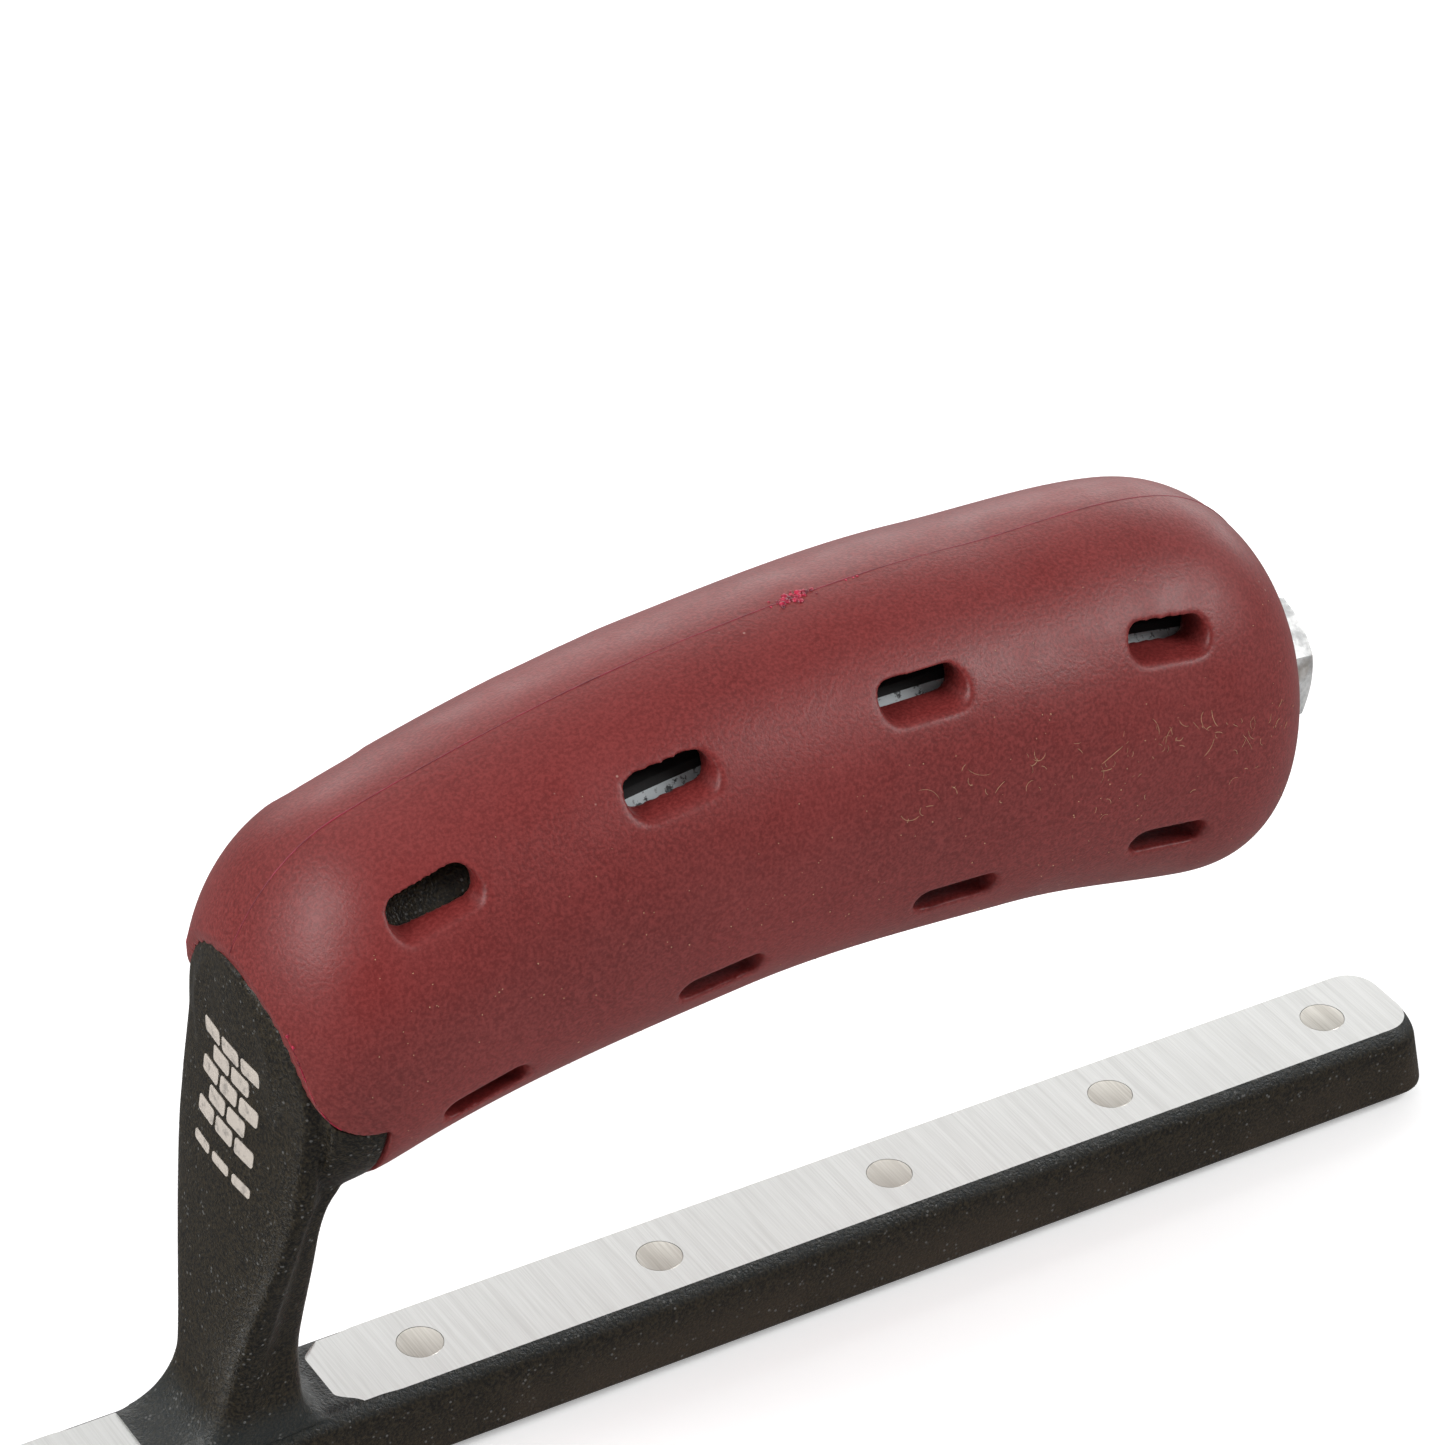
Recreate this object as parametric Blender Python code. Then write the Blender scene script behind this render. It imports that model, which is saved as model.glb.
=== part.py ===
"""Trowel handle assembly: a cast mounting rail with an upright shank, a riveted steel sole
strip, and a soft grip that one long bolt clamps on a hard core.

Constants are in millimetres and the scene is in metres. X runs from the front of the rail
to its rear, Z is up, and the origin is the middle of the sole strip's underside.
"""

import math

import bmesh
import bpy
from mathutils import Vector

MM = 0.001
GAP = 0.3
RIVET_GAP = 0.1

# Steel sole strip under the rail
BLADE_LENGTH = 229.0
BLADE_WIDTH = 10.8
BLADE_THICKNESS = 0.8
BLADE_CORNER = 4.5

# Cast rail, measured at its foot
RAIL_LENGTH = 233.0
RAIL_HALF_WIDTH = 7.35
RAIL_HEIGHT = 9.5
RAIL_CORNER = 3.6
RAIL_FOOT_ROUND = 0.6
RAIL_BOTTOM = BLADE_THICKNESS + GAP
RAIL_TOP = RAIL_BOTTOM + RAIL_HEIGHT
MILLED_HALF_WIDTH = 5.8
MILLED_HALF_LENGTH = 114.4
MILLED_CORNER = 3.5

# Rivets: every pitch along the rail except under the shank
RIVET_PITCH = 30.0
REAR_RIVET_X = 105.0
RIVET_PLACES = (0, 1, 2, 3, 4, 6, 7)
RIVET_RADIUS = 2.6
RIVET_HEAD_RADIUS = 3.5
RIVET_HEAD_HEIGHT = 0.6
RIVET_HEAD_RIM = 0.1
RIVET_SIDES = 24

# Shank: heights are above the rail's milled top
SHANK_FRONT_X = -42.6
SHANK_REAR_X = -31.4
SHANK_LEAN = 0.14
SHANK_FACE_X = -36.35
SHANK_HALF_WIDTH = (7.0, 13.5)
SHANK_FLARE = (5.0, 38.0)
SHANK_ARCH_START = 44.0
SHANK_ARCH_HEIGHT = 14.6
SHANK_TOP = 58.0
FRONT_FILLET = 7.0
REAR_FILLET = 4.0
WEB_FILLET = 7.0
WEB_TOP = 34.0
SHANK_POWER = 4.2

# Grip: an arc in the XZ plane carries oval sections
ARC_RADIUS = 205.0
ARC_CREST_X = 37.0
ARC_CREST_Z = 71.45
GRIP_SLEEVE_FRONT_X = -38.4
GRIP_HALF_WIDTH = ((-23.0, 18.7), (17.0, 19.6), (50.0, 20.6), (73.0, 19.8), (97.0, 19.4))
GRIP_HALF_ABOVE = ((-23.0, 20.1), (17.0, 20.5), (50.0, 21.2), (73.0, 23.2), (97.0, 23.8))
GRIP_HALF_BELOW = ((-23.0, 18.9), (17.0, 20.2), (50.0, 21.2), (73.0, 23.0), (97.0, 23.4))
GRIP_POWER = 2.08
GRIP_SIDES = 40
FRONT_DOME_START = -23.0
FRONT_DOME_LENGTH = 15.5
REAR_DOME_START = 73.0
REAR_DOME_LENGTH = 17.9
HOOD_WALL = 1.5
APRON_INSET = 1.2

# Side outline of the grip's front edge, as X and height above the rail's milled top
FRONT_EDGE = (
    (-37.0, 80.0),
    (-36.1, 58.5),
    (-35.3, 55.5),
    (-34.8, 52.0),
    (-34.2, 48.6),
    (-33.4, 46.8),
    (-32.2, 45.8),
    (-30.6, 45.2),
    (-28.9, 44.9),
    (-27.0, 45.1),
    (-26.9, 20.0),
)

# Hard core and the tang that enters it
CORE_HALF_WIDTH = 14.3
CORE_HALF_HEIGHT = 16.5
CORE_POWER = 2.6
CORE_FRONT_X = -11.7
CORE_REAR_X = 86.8
CORE_END_WALL = 3.0
TANG_HALF_WIDTH = 7.5
TANG_HALF_HEIGHT = 9.5
TANG_START_X = -20.0
TANG_END_X = 25.0

# Slots that show the core: centre X, height above the grip's centre line
UPPER_SLOT_XS = (-19.3, 7.5, 37.0, 67.3)
LOWER_SLOT_XS = (-15.6, 11.6, 39.6, 66.8)
UPPER_SLOT = {"offset": 14.5, "length": 10.1, "height": 3.7}
LOWER_SLOT = {"offset": -8.8, "length": 10.0, "height": 3.1}
CUTTER_HALF_DEPTH = 30.0

# M8 clamping bolt
BOLT_REAR_X = 93.9
BOLT_REAR_Z = 64.7
BOLT_TILT = math.radians(6.0)
BOLT_RADIUS = 4.0
BOLT_LENGTH = 92.0
HEX_ACROSS_FLATS = 13.0
HEX_HEIGHT = 5.3
WASHER_RADIUS = 8.0
WASHER_HOLE = 4.3
WASHER_THICKNESS = 1.6

COLOURS = {
    "black_casting": ((0.035, 0.037, 0.038), 0.55, 0.3),
    "burgundy_grip": ((0.19, 0.025, 0.035), 0.62, 0.0),
    "grey_core": ((0.32, 0.35, 0.36), 0.6, 0.0),
    "zinc_steel": ((0.62, 0.63, 0.62), 0.4, 1.0),
    "rivet_alloy": ((0.58, 0.56, 0.52), 0.35, 1.0),
    "spring_steel": ((0.55, 0.56, 0.57), 0.25, 1.0),
}


# ---------------------------------------------------------------- scene helpers
def clear_scene():
    for obj in list(bpy.data.objects):
        bpy.data.objects.remove(obj, do_unlink=True)


def new_collection(name):
    collection = bpy.data.collections.new(name)
    bpy.context.scene.collection.children.link(collection)
    return collection


def material(name):
    colour, roughness, metallic = COLOURS[name]
    made = bpy.data.materials.get(name) or bpy.data.materials.new(name)
    made.use_nodes = True
    shader = made.node_tree.nodes["Principled BSDF"]
    shader.inputs["Base Color"].default_value = (*colour, 1.0)
    shader.inputs["Roughness"].default_value = roughness
    shader.inputs["Metallic"].default_value = metallic
    return made


def mesh_object(name, bm, collection, surface=None):
    bmesh.ops.recalc_face_normals(bm, faces=bm.faces)
    mesh = bpy.data.meshes.new(name)
    bm.to_mesh(mesh)
    bm.free()
    obj = bpy.data.objects.new(name, mesh)
    collection.objects.link(obj)
    if surface:
        mesh.materials.append(material(surface))
        mesh.shade_smooth()
        mesh.set_sharp_from_angle(angle=math.radians(35))
    else:
        obj.hide_render = True
        obj.display_type = "WIRE"
    return obj


def boolean(target, operation, other):
    modifier = target.modifiers.new(operation.lower() + "_" + other.name, "BOOLEAN")
    modifier.operation = operation
    modifier.object = other
    modifier.solver = "EXACT"


def loft(rings):
    """A closed bmesh through rings of equal length, capped at both ends."""
    bm = bmesh.new()
    rows = [[bm.verts.new(Vector(point) * MM) for point in ring] for ring in rings]
    count = len(rows[0])
    for low, high in zip(rows, rows[1:]):
        for i in range(count):
            j = (i + 1) % count
            bm.faces.new((low[i], low[j], high[j], high[i]))
    bm.faces.new(rows[0])
    bm.faces.new(reversed(rows[-1]))
    return bm


def prism(outline, half_depth):
    """An XZ outline extruded both ways along Y."""
    return loft([[(x, y, z) for x, z in outline] for y in (-half_depth, half_depth)])


# ---------------------------------------------------------------- section formulas
def superellipse(half_a, half_b, power, count):
    points = []
    for i in range(count):
        angle = 2 * math.pi * (i + 0.5) / count
        c, s = math.cos(angle), math.sin(angle)
        radius = (abs(c) ** power + abs(s) ** power) ** (-1 / power)
        points.append((half_a * radius * c, half_b * radius * s))
    return points


def circle(radius, z, sides):
    angles = [2 * math.pi * i / sides for i in range(sides)]
    return [(radius * math.cos(a), radius * math.sin(a), z) for a in angles]


def rounded_rectangle(half_x, half_y, corner, steps=6):
    points = []
    for quarter, (sx, sy) in enumerate(((1, 1), (-1, 1), (-1, -1), (1, -1))):
        for step in range(steps + 1):
            angle = math.pi / 2 * (quarter + step / steps)
            x = sx * (half_x - corner) + corner * math.cos(angle)
            y = sy * (half_y - corner) + corner * math.sin(angle)
            points.append((x, y))
    return points


def smoothstep(low, high, value):
    t = min(max((value - low) / (high - low), 0.0), 1.0)
    return t * t * (3 - 2 * t)


def between(stations, x):
    """Smooth value at x through (x, value) stations."""
    if x <= stations[0][0]:
        return stations[0][1]
    for (x0, v0), (x1, v1) in zip(stations, stations[1:]):
        if x <= x1:
            return v0 + (v1 - v0) * smoothstep(x0, x1, x)
    return stations[-1][1]


def dome(distance, length, power):
    """Scale of a section this far into a rounded end."""
    t = min(max(distance / length, 0.0), 0.999)
    return (1 - t**power) ** (1 / power)


def arc_z(x):
    drop = ARC_RADIUS - math.sqrt(ARC_RADIUS**2 - (x - ARC_CREST_X) ** 2)
    return ARC_CREST_Z - drop


def arc_angle(x):
    return math.asin((ARC_CREST_X - x) / ARC_RADIUS)


def grip_halves(x):
    """Half-width, half-height above and half-height below the arc."""
    width = between(GRIP_HALF_WIDTH, x)
    above = between(GRIP_HALF_ABOVE, x)
    below = between(GRIP_HALF_BELOW, x)
    front, rear = FRONT_DOME_START - x, x - REAR_DOME_START
    width *= dome(front, FRONT_DOME_LENGTH, 2.3) * dome(rear, REAR_DOME_LENGTH, 2.3)
    above *= dome(front, FRONT_DOME_LENGTH, 2.2) * dome(rear, REAR_DOME_LENGTH, 2.4)
    below *= dome(rear, REAR_DOME_LENGTH, 2.4)
    return width, above, below


def grip_ring(x, inset, count):
    width, above, below = grip_halves(x)
    ring = superellipse(width - inset, 1.0, GRIP_POWER, count)
    return [(x, y, arc_z(x) + v * ((above if v > 0 else below) - inset)) for y, v in ring]


def core_ring(x, grow, count=32):
    width, above, below = grip_halves(x)
    wall = HOOD_WALL if x < 0 else CORE_END_WALL
    half_width = min(CORE_HALF_WIDTH, width - wall) + grow
    up = min(CORE_HALF_HEIGHT, above - wall) + grow
    down = min(CORE_HALF_HEIGHT, below - wall) + grow
    ring = superellipse(half_width, 1.0, CORE_POWER, count)
    return [(x, y, arc_z(x) + v * (up if v > 0 else down)) for y, v in ring]


def tang_rings(grow):
    ring = superellipse(TANG_HALF_WIDTH + grow, TANG_HALF_HEIGHT + grow, CORE_POWER, 24)
    stations = spaced(TANG_START_X, TANG_END_X + grow, 7)
    return [[(x, y, arc_z(x) + v) for y, v in ring] for x in stations]


def core_stations(first, last):
    """The shared stations between two ends, so that the core, the head and the bore run parallel."""
    shared = spaced(-38.0, -22.0, 17) + spaced(-18.0, 70.0, 12) + spaced(REAR_DOME_START, 87.0, 8)
    return [first] + [x for x in shared if first + 0.2 < x < last - 0.2] + [last]


def spaced(first, last, count):
    return [first + (last - first) * i / (count - 1) for i in range(count)]


def end_spaced(start, end, count):
    """Stations that crowd together toward the end of a dome."""
    return [start + (end - start) * math.sin(math.pi / 2 * i / count) for i in range(1, count + 1)]


# ---------------------------------------------------------------- bolt axis
def bolt_point(distance):
    """Point on the bolt's axis, this far forward of the head's rear face."""
    x = BOLT_REAR_X - distance * math.cos(BOLT_TILT)
    return x, BOLT_REAR_Z + distance * math.sin(BOLT_TILT)


def bolt_cylinder(name, radius, near, far, collection, sides=32):
    """A cylinder on the bolt's axis between two distances from the head's rear face."""
    bm = bmesh.new()
    bmesh.ops.create_cone(
        bm, cap_ends=True, segments=sides, radius1=radius * MM, radius2=radius * MM, depth=(far - near) * MM
    )
    obj = mesh_object(name, bm, collection)
    x, z = bolt_point((near + far) / 2)
    obj.location = (x * MM, 0, z * MM)
    obj.rotation_euler = (0, math.pi / 2 + BOLT_TILT, 0)
    return obj


# ---------------------------------------------------------------- rail and shank
def rail_rings():
    half_length = RAIL_LENGTH / 2
    edge = RAIL_HALF_WIDTH - MILLED_HALF_WIDTH
    levels = (
        (RAIL_BOTTOM, half_length - RAIL_FOOT_ROUND, RAIL_HALF_WIDTH - RAIL_FOOT_ROUND, RAIL_CORNER - 0.4),
        (RAIL_BOTTOM + RAIL_FOOT_ROUND, half_length, RAIL_HALF_WIDTH, RAIL_CORNER),
        (RAIL_TOP - 1.6, half_length - 1.6, RAIL_HALF_WIDTH - 0.35, RAIL_CORNER),
        (RAIL_TOP - 0.6, half_length - 1.85, RAIL_HALF_WIDTH - 0.5 * edge, RAIL_CORNER - 0.2),
        (RAIL_TOP, MILLED_HALF_LENGTH, MILLED_HALF_WIDTH, MILLED_CORNER),
    )
    return [[(x, y, z) for x, y in rounded_rectangle(a, b, r)] for z, a, b, r in levels]


def fillet(height, radius):
    """How far a concave quarter round stands out, this high above its foot."""
    if height >= radius:
        return 0.0
    return radius - math.sqrt(radius**2 - (radius - max(height, 0.0)) ** 2)


def shank_ring(height):
    front = min(SHANK_FRONT_X + SHANK_LEAN * height, SHANK_FACE_X) - fillet(height, FRONT_FILLET)
    rear = SHANK_REAR_X + fillet(height, REAR_FILLET)
    rear += fillet(max(WEB_TOP - height, 0.0), WEB_FILLET) * 0.3
    narrow, wide = SHANK_HALF_WIDTH
    half_width = narrow + (wide - narrow) * smoothstep(*SHANK_FLARE, height)
    rise = max(height - SHANK_ARCH_START, 0.0) / SHANK_ARCH_HEIGHT
    half_width *= max(1 - rise**2.5, 0.0) ** 0.4
    if height < 0:
        half_width -= 1.6
    middle, half_depth = (front + rear) / 2, (rear - front) / 2
    ring = superellipse(half_depth, half_width, SHANK_POWER, 40)
    return [(middle + x, y, RAIL_TOP + height) for x, y in ring]


def shank_heights():
    foot = [-1.5, 0.0, 0.3, 0.8, 1.5, 2.6, 4.2, 6.0]
    arch = end_spaced(SHANK_ARCH_START, SHANK_TOP, 7)
    return foot + spaced(9.0, SHANK_ARCH_START, 12) + arch


def edge_outline(offset, far_x):
    """XZ outline of the space between the grip's front edge, moved by this offset, and far_x."""
    edge = [(x + offset, z + RAIL_TOP + offset) for x, z in FRONT_EDGE]
    return [(far_x, edge[0][1])] + edge + [(far_x, edge[-1][1])]


def make_casting(parts, helpers):
    casting = mesh_object("mounting_casting", loft(rail_rings()), parts, "black_casting")
    shank = mesh_object("shank_form", loft([shank_ring(h) for h in shank_heights()]), helpers)
    apron_rings = [grip_ring(x, APRON_INSET, GRIP_SIDES) for x in spaced(-32.6, -20.0, 7)]
    apron = mesh_object("apron_form", loft(apron_rings), helpers)
    boolean(shank, "UNION", apron)
    hood = mesh_object("hood_room", prism(edge_outline(-GAP, 20.0), CUTTER_HALF_DEPTH), helpers)
    boolean(shank, "DIFFERENCE", hood)
    boolean(casting, "UNION", shank)

    rings = [core_ring(x, 0.0) for x in core_stations(SHANK_FACE_X + 0.2, CORE_FRONT_X - GAP)]
    head = mesh_object("head_form", loft(rings), helpers)
    boolean(casting, "UNION", head)

    tang = mesh_object("tang_form", loft(tang_rings(0.0)), helpers)
    boolean(casting, "UNION", tang)

    thread = bolt_cylinder("thread_hole", BOLT_RADIUS + GAP, 60.0, BOLT_LENGTH + 4.0, helpers)
    boolean(casting, "DIFFERENCE", thread)
    cut_rivet_holes(casting, helpers)
    return casting


# ---------------------------------------------------------------- rivets and sole strip
def rivet_positions():
    return [REAR_RIVET_X - RIVET_PITCH * place for place in RIVET_PLACES]


def rivet_form(name, grow, bottom, top, collection, surface=None):
    """A countersunk rivet turned about Z, closed at both ends."""
    radius, head = RIVET_RADIUS + grow, RIVET_HEAD_RADIUS + grow
    cone_top = RIVET_HEAD_RIM + RIVET_HEAD_HEIGHT
    levels = ((bottom, head), (RIVET_HEAD_RIM, head), (cone_top, radius), (top, radius))
    rings = [circle(r, z, RIVET_SIDES) for z, r in levels]
    return mesh_object(name, loft(rings), collection, surface)


def cut_rivet_holes(target, helpers):
    for number, x in enumerate(rivet_positions(), 1):
        cutter = rivet_form(f"hole_{target.name}_{number}", RIVET_GAP, -0.1, RAIL_TOP + 1.0, helpers)
        cutter.location.x = x * MM
        boolean(target, "DIFFERENCE", cutter)


def make_rivets(parts):
    for number, x in enumerate(rivet_positions(), 1):
        rivet = rivet_form(f"rivet_{number}", 0.0, 0.02, RAIL_TOP, parts, "rivet_alloy")
        rivet.location.x = x * MM


def make_blade(parts, helpers):
    outline = rounded_rectangle(BLADE_LENGTH / 2, BLADE_WIDTH / 2, BLADE_CORNER)
    rings = [[(x, y, z) for x, y in outline] for z in (0.0, BLADE_THICKNESS)]
    blade = mesh_object("sole_strip", loft(rings), parts, "spring_steel")
    cut_rivet_holes(blade, helpers)
    return blade


# ---------------------------------------------------------------- grip
def slot_cutter(name, x, slot, helpers):
    """A round-ended bar along Y, through both sides of the grip and clear of its middle."""
    half_length, half_height = slot["length"] / 2, slot["height"] / 2
    outline = rounded_rectangle(half_length, half_height, half_height * 0.98, 5)
    angle = arc_angle(x)
    c, s = math.cos(angle), math.sin(angle)
    z = arc_z(x) + slot["offset"]
    turned = [(x + u * c - v * s, z + u * s + v * c) for u, v in outline]
    return mesh_object(name, prism(turned, CUTTER_HALF_DEPTH), helpers)


def make_grip(parts, helpers):
    stations = list(reversed(end_spaced(FRONT_DOME_START, GRIP_SLEEVE_FRONT_X, 9)))
    stations += spaced(FRONT_DOME_START, REAR_DOME_START, 16)
    stations += end_spaced(REAR_DOME_START, REAR_DOME_START + REAR_DOME_LENGTH - 0.3, 11)
    rings = [grip_ring(x, 0.0, GRIP_SIDES) for x in stations]
    grip = mesh_object("grip_sleeve", loft(rings), parts, "burgundy_grip")

    rings = [core_ring(x, GAP) for x in core_stations(GRIP_SLEEVE_FRONT_X + 0.4, CORE_REAR_X + GAP)]
    bore = mesh_object("bore_form", loft(rings), helpers)
    boolean(grip, "DIFFERENCE", bore)
    mouth = mesh_object("front_mouth", prism(edge_outline(0.0, -60.0), CUTTER_HALF_DEPTH), helpers)
    boolean(grip, "DIFFERENCE", mouth)
    rows = (("upper", UPPER_SLOT_XS, UPPER_SLOT), ("lower", LOWER_SLOT_XS, LOWER_SLOT))
    for row, places, slot in rows:
        for number, x in enumerate(places, 1):
            boolean(grip, "DIFFERENCE", slot_cutter(f"slot_{row}_{number}", x, slot, helpers))
    depth = HEX_HEIGHT + WASHER_THICKNESS + 2.0
    recess = bolt_cylinder("head_recess", WASHER_RADIUS + GAP, -4.0, depth, helpers)
    boolean(grip, "DIFFERENCE", recess)
    return grip


def make_core(parts, helpers):
    rings = [core_ring(x, 0.0) for x in core_stations(CORE_FRONT_X, CORE_REAR_X)]
    core = mesh_object("grip_core", loft(rings), parts, "grey_core")
    socket = mesh_object("tang_socket", loft(tang_rings(GAP)), helpers)
    boolean(core, "DIFFERENCE", socket)
    passage = bolt_cylinder("bolt_passage", BOLT_RADIUS + GAP, -4.0, 80.0, helpers)
    boolean(core, "DIFFERENCE", passage)
    seat = bolt_cylinder("washer_seat", 20.0, -6.0, HEX_HEIGHT + WASHER_THICKNESS + 2 * GAP, helpers)
    boolean(core, "DIFFERENCE", seat)
    return core


# ---------------------------------------------------------------- bolt and washer
def make_bolt(parts, helpers):
    """Head at the rear, shank forward, turned about local Z and laid along the bolt's axis."""
    across_corners = HEX_ACROSS_FLATS / math.cos(math.pi / 6)
    bm = bmesh.new()
    bmesh.ops.create_cone(
        bm,
        cap_ends=True,
        segments=6,
        radius1=across_corners / 2 * MM,
        radius2=across_corners / 2 * MM,
        depth=HEX_HEIGHT * MM,
    )
    bolt = mesh_object("grip_bolt", bm, parts, "zinc_steel")
    x, z = bolt_point(HEX_HEIGHT / 2)
    bolt.location = (x * MM, 0, z * MM)
    bolt.rotation_euler = (0, math.pi / 2 + BOLT_TILT, 0)
    chamfer = mesh_object("head_chamfer", loft(chamfer_rings(across_corners / 2)), helpers)
    chamfer.location, chamfer.rotation_euler = bolt.location, bolt.rotation_euler
    boolean(bolt, "INTERSECT", chamfer)
    shank = bolt_cylinder("bolt_shank", BOLT_RADIUS, HEX_HEIGHT - 1.0, BOLT_LENGTH, helpers)
    boolean(bolt, "UNION", shank)
    return bolt


def chamfer_rings(corner_radius):
    """A drum that cuts the corners of the head's rear face to a 30 degree chamfer."""
    half = HEX_HEIGHT / 2
    flat_radius = HEX_ACROSS_FLATS / 2 * 0.95
    drop = (corner_radius - flat_radius) * math.tan(math.radians(30))
    wide = corner_radius + 0.2
    return [circle(r, z, 48) for z, r in ((-half - 0.1, wide), (half - drop, wide), (half, flat_radius))]


def make_washer(parts):
    bm = bmesh.new()
    half, sides = WASHER_THICKNESS / 2, 40
    corners = ((-half, WASHER_HOLE), (-half, WASHER_RADIUS), (half, WASHER_RADIUS), (half, WASHER_HOLE))
    rings = [[bm.verts.new(Vector(p) * MM) for p in circle(r, z, sides)] for z, r in corners]
    for low, high in zip(rings, rings[1:] + rings[:1]):
        for i in range(sides):
            j = (i + 1) % sides
            bm.faces.new((low[i], low[j], high[j], high[i]))
    washer = mesh_object("grip_washer", bm, parts, "zinc_steel")
    x, z = bolt_point(HEX_HEIGHT + GAP + WASHER_THICKNESS / 2)
    washer.location = (x * MM, 0, z * MM)
    washer.rotation_euler = (0, math.pi / 2 + BOLT_TILT, 0)
    return washer


def main():
    clear_scene()
    parts = new_collection("trowel_handle")
    helpers = new_collection("cutters")
    make_casting(parts, helpers)
    make_blade(parts, helpers)
    make_rivets(parts)
    make_core(parts, helpers)
    make_grip(parts, helpers)
    make_washer(parts)
    make_bolt(parts, helpers)


main()
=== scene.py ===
"""Looks of the trowel handle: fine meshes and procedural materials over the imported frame.

Lengths are in millimetres until a mesh is made. X runs along the rail, Z is up.
"""

import math
import random

import bmesh
import bpy
import numpy as np
from mathutils import Matrix, Vector


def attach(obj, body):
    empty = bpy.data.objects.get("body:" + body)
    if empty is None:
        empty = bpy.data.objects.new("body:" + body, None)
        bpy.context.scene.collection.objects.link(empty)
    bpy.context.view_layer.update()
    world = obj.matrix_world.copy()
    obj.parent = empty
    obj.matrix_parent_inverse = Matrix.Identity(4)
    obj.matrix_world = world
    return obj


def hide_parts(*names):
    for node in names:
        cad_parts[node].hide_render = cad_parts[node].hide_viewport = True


MM = 0.001
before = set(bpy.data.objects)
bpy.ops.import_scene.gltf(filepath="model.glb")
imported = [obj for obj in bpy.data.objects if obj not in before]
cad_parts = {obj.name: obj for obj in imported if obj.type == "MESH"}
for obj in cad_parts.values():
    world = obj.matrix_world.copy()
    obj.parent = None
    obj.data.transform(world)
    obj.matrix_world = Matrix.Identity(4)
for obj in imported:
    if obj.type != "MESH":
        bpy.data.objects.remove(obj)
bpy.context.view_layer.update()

# The frame's dimensions
RAIL_BOTTOM = 1.1
RAIL_TOP = 10.6
RAIL_LENGTH = 233.0
RAIL_HALF_WIDTH = 7.35
RAIL_CORNER = 3.6
REAR_BLANK_X = -26.0
FRONT_BLANK_X = -50.5
RIVET_XS = (105.0, 75.0, 45.0, 15.0, -15.0, -75.0, -105.0)
RIVET_RADIUS = 2.6
RIVET_HEAD_RADIUS = 3.5

SHANK_FRONT_X = -42.6
SHANK_REAR_X = -31.4
SHANK_LEAN = 0.14
SHANK_FACE_X = -36.35
SHANK_HALF_WIDTH = (7.0, 13.5)
SHANK_FLARE = (5.0, 38.0)
SHANK_ARCH_START = 44.0
SHANK_ARCH_HEIGHT = 14.6
SHANK_TOP = 58.0
FRONT_FILLET = 7.0
REAR_FILLET = 4.0
WEB_FILLET = 7.0
WEB_TOP = 34.0
SHANK_POWER = 4.2
FACE_CROWN = 1.4
SHANK_EXTRA_POWER = 4.0
SHANK_SQUARES_UP = (4.0, 24.0)
SHANK_ROOT_INSET = 1.6
ARCH_POWER = 2.5
WEB_SHARE = 0.3
FLUTE_DEPTH = 1.7
FLUTE_RISE = (1.5, 12.0)
FLUTE_START, FLUTE_RUN, FLUTE_POWER = 0.36, 0.24, 0.7  # shares of the shank's depth

ARC_RADIUS = 205.0
ARC_CREST_X = 37.0
ARC_CREST_Z = 71.45
GRIP_HALF_WIDTH = ((-23.0, 18.7), (17.0, 19.6), (50.0, 20.6), (73.0, 19.8), (97.0, 19.4))
GRIP_HALF_ABOVE = ((-23.0, 20.1), (17.0, 20.5), (50.0, 21.2), (73.0, 23.2), (97.0, 23.8))
GRIP_HALF_BELOW = ((-23.0, 18.9), (17.0, 20.2), (50.0, 21.2), (73.0, 23.0), (97.0, 23.4))
GRIP_POWER = 2.08
SIDE_DOME_POWER = 2.3
FRONT_DOME_POWER = 2.2
REAR_DOME_POWER = 2.4
SLEEVE_FRONT_X = -38.4
FRONT_DOME_START = -23.0
FRONT_DOME_LENGTH = 15.5
REAR_DOME_START = 73.0
REAR_DOME_LENGTH = 17.9
GAP = 0.3
HOOD_WALL = 1.2
APRON_INSET = 0.4
FRONT_EDGE = (
    (-37.0, 80.0),
    (-36.1, 58.5),
    (-35.3, 55.5),
    (-34.8, 52.0),
    (-34.1, 48.6),
    (-32.9, 46.6),
    (-31.6, 45.6),
    (-30.3, 45.1),
    (-28.9, 44.9),
    (-27.4, 45.0),
    (-27.0, 45.1),
    (-26.95, 44.6),
    (-26.9, 42.0),
    (-26.9, 20.0),
)

CORE_HALF_WIDTH = 14.3
CORE_HALF_HEIGHT = 16.5
CORE_POWER = 2.6
CORE_SQUARES_UP = (-26.0, -12.0)
CORE_CREST = 13.1
CREST_FLATNESS = 0.9
CORE_SHRINK = 0.7
CORE_LIT_HEIGHT = 12.75
CORE_FRONT_X = -11.7
CORE_REAR_X = 86.8
CORE_END_WALL = 3.0
TANG_HALF_WIDTH = 7.5
TANG_HALF_HEIGHT = 9.5
TANG_START_X = -20.0
TANG_END_X = 25.0

UPPER_SLOT_XS = (-19.3, 7.5, 37.0, 67.3)
LOWER_SLOT_XS = (-15.6, 11.6, 39.6, 66.8)
UPPER_SLOT = (14.5, 10.1, 3.7)  # height over the grip's axis, length, height of the opening
LOWER_SLOT = (-8.8, 10.0, 3.1)
SLOT_ROWS = ((UPPER_SLOT_XS, UPPER_SLOT), (LOWER_SLOT_XS, LOWER_SLOT))

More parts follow.
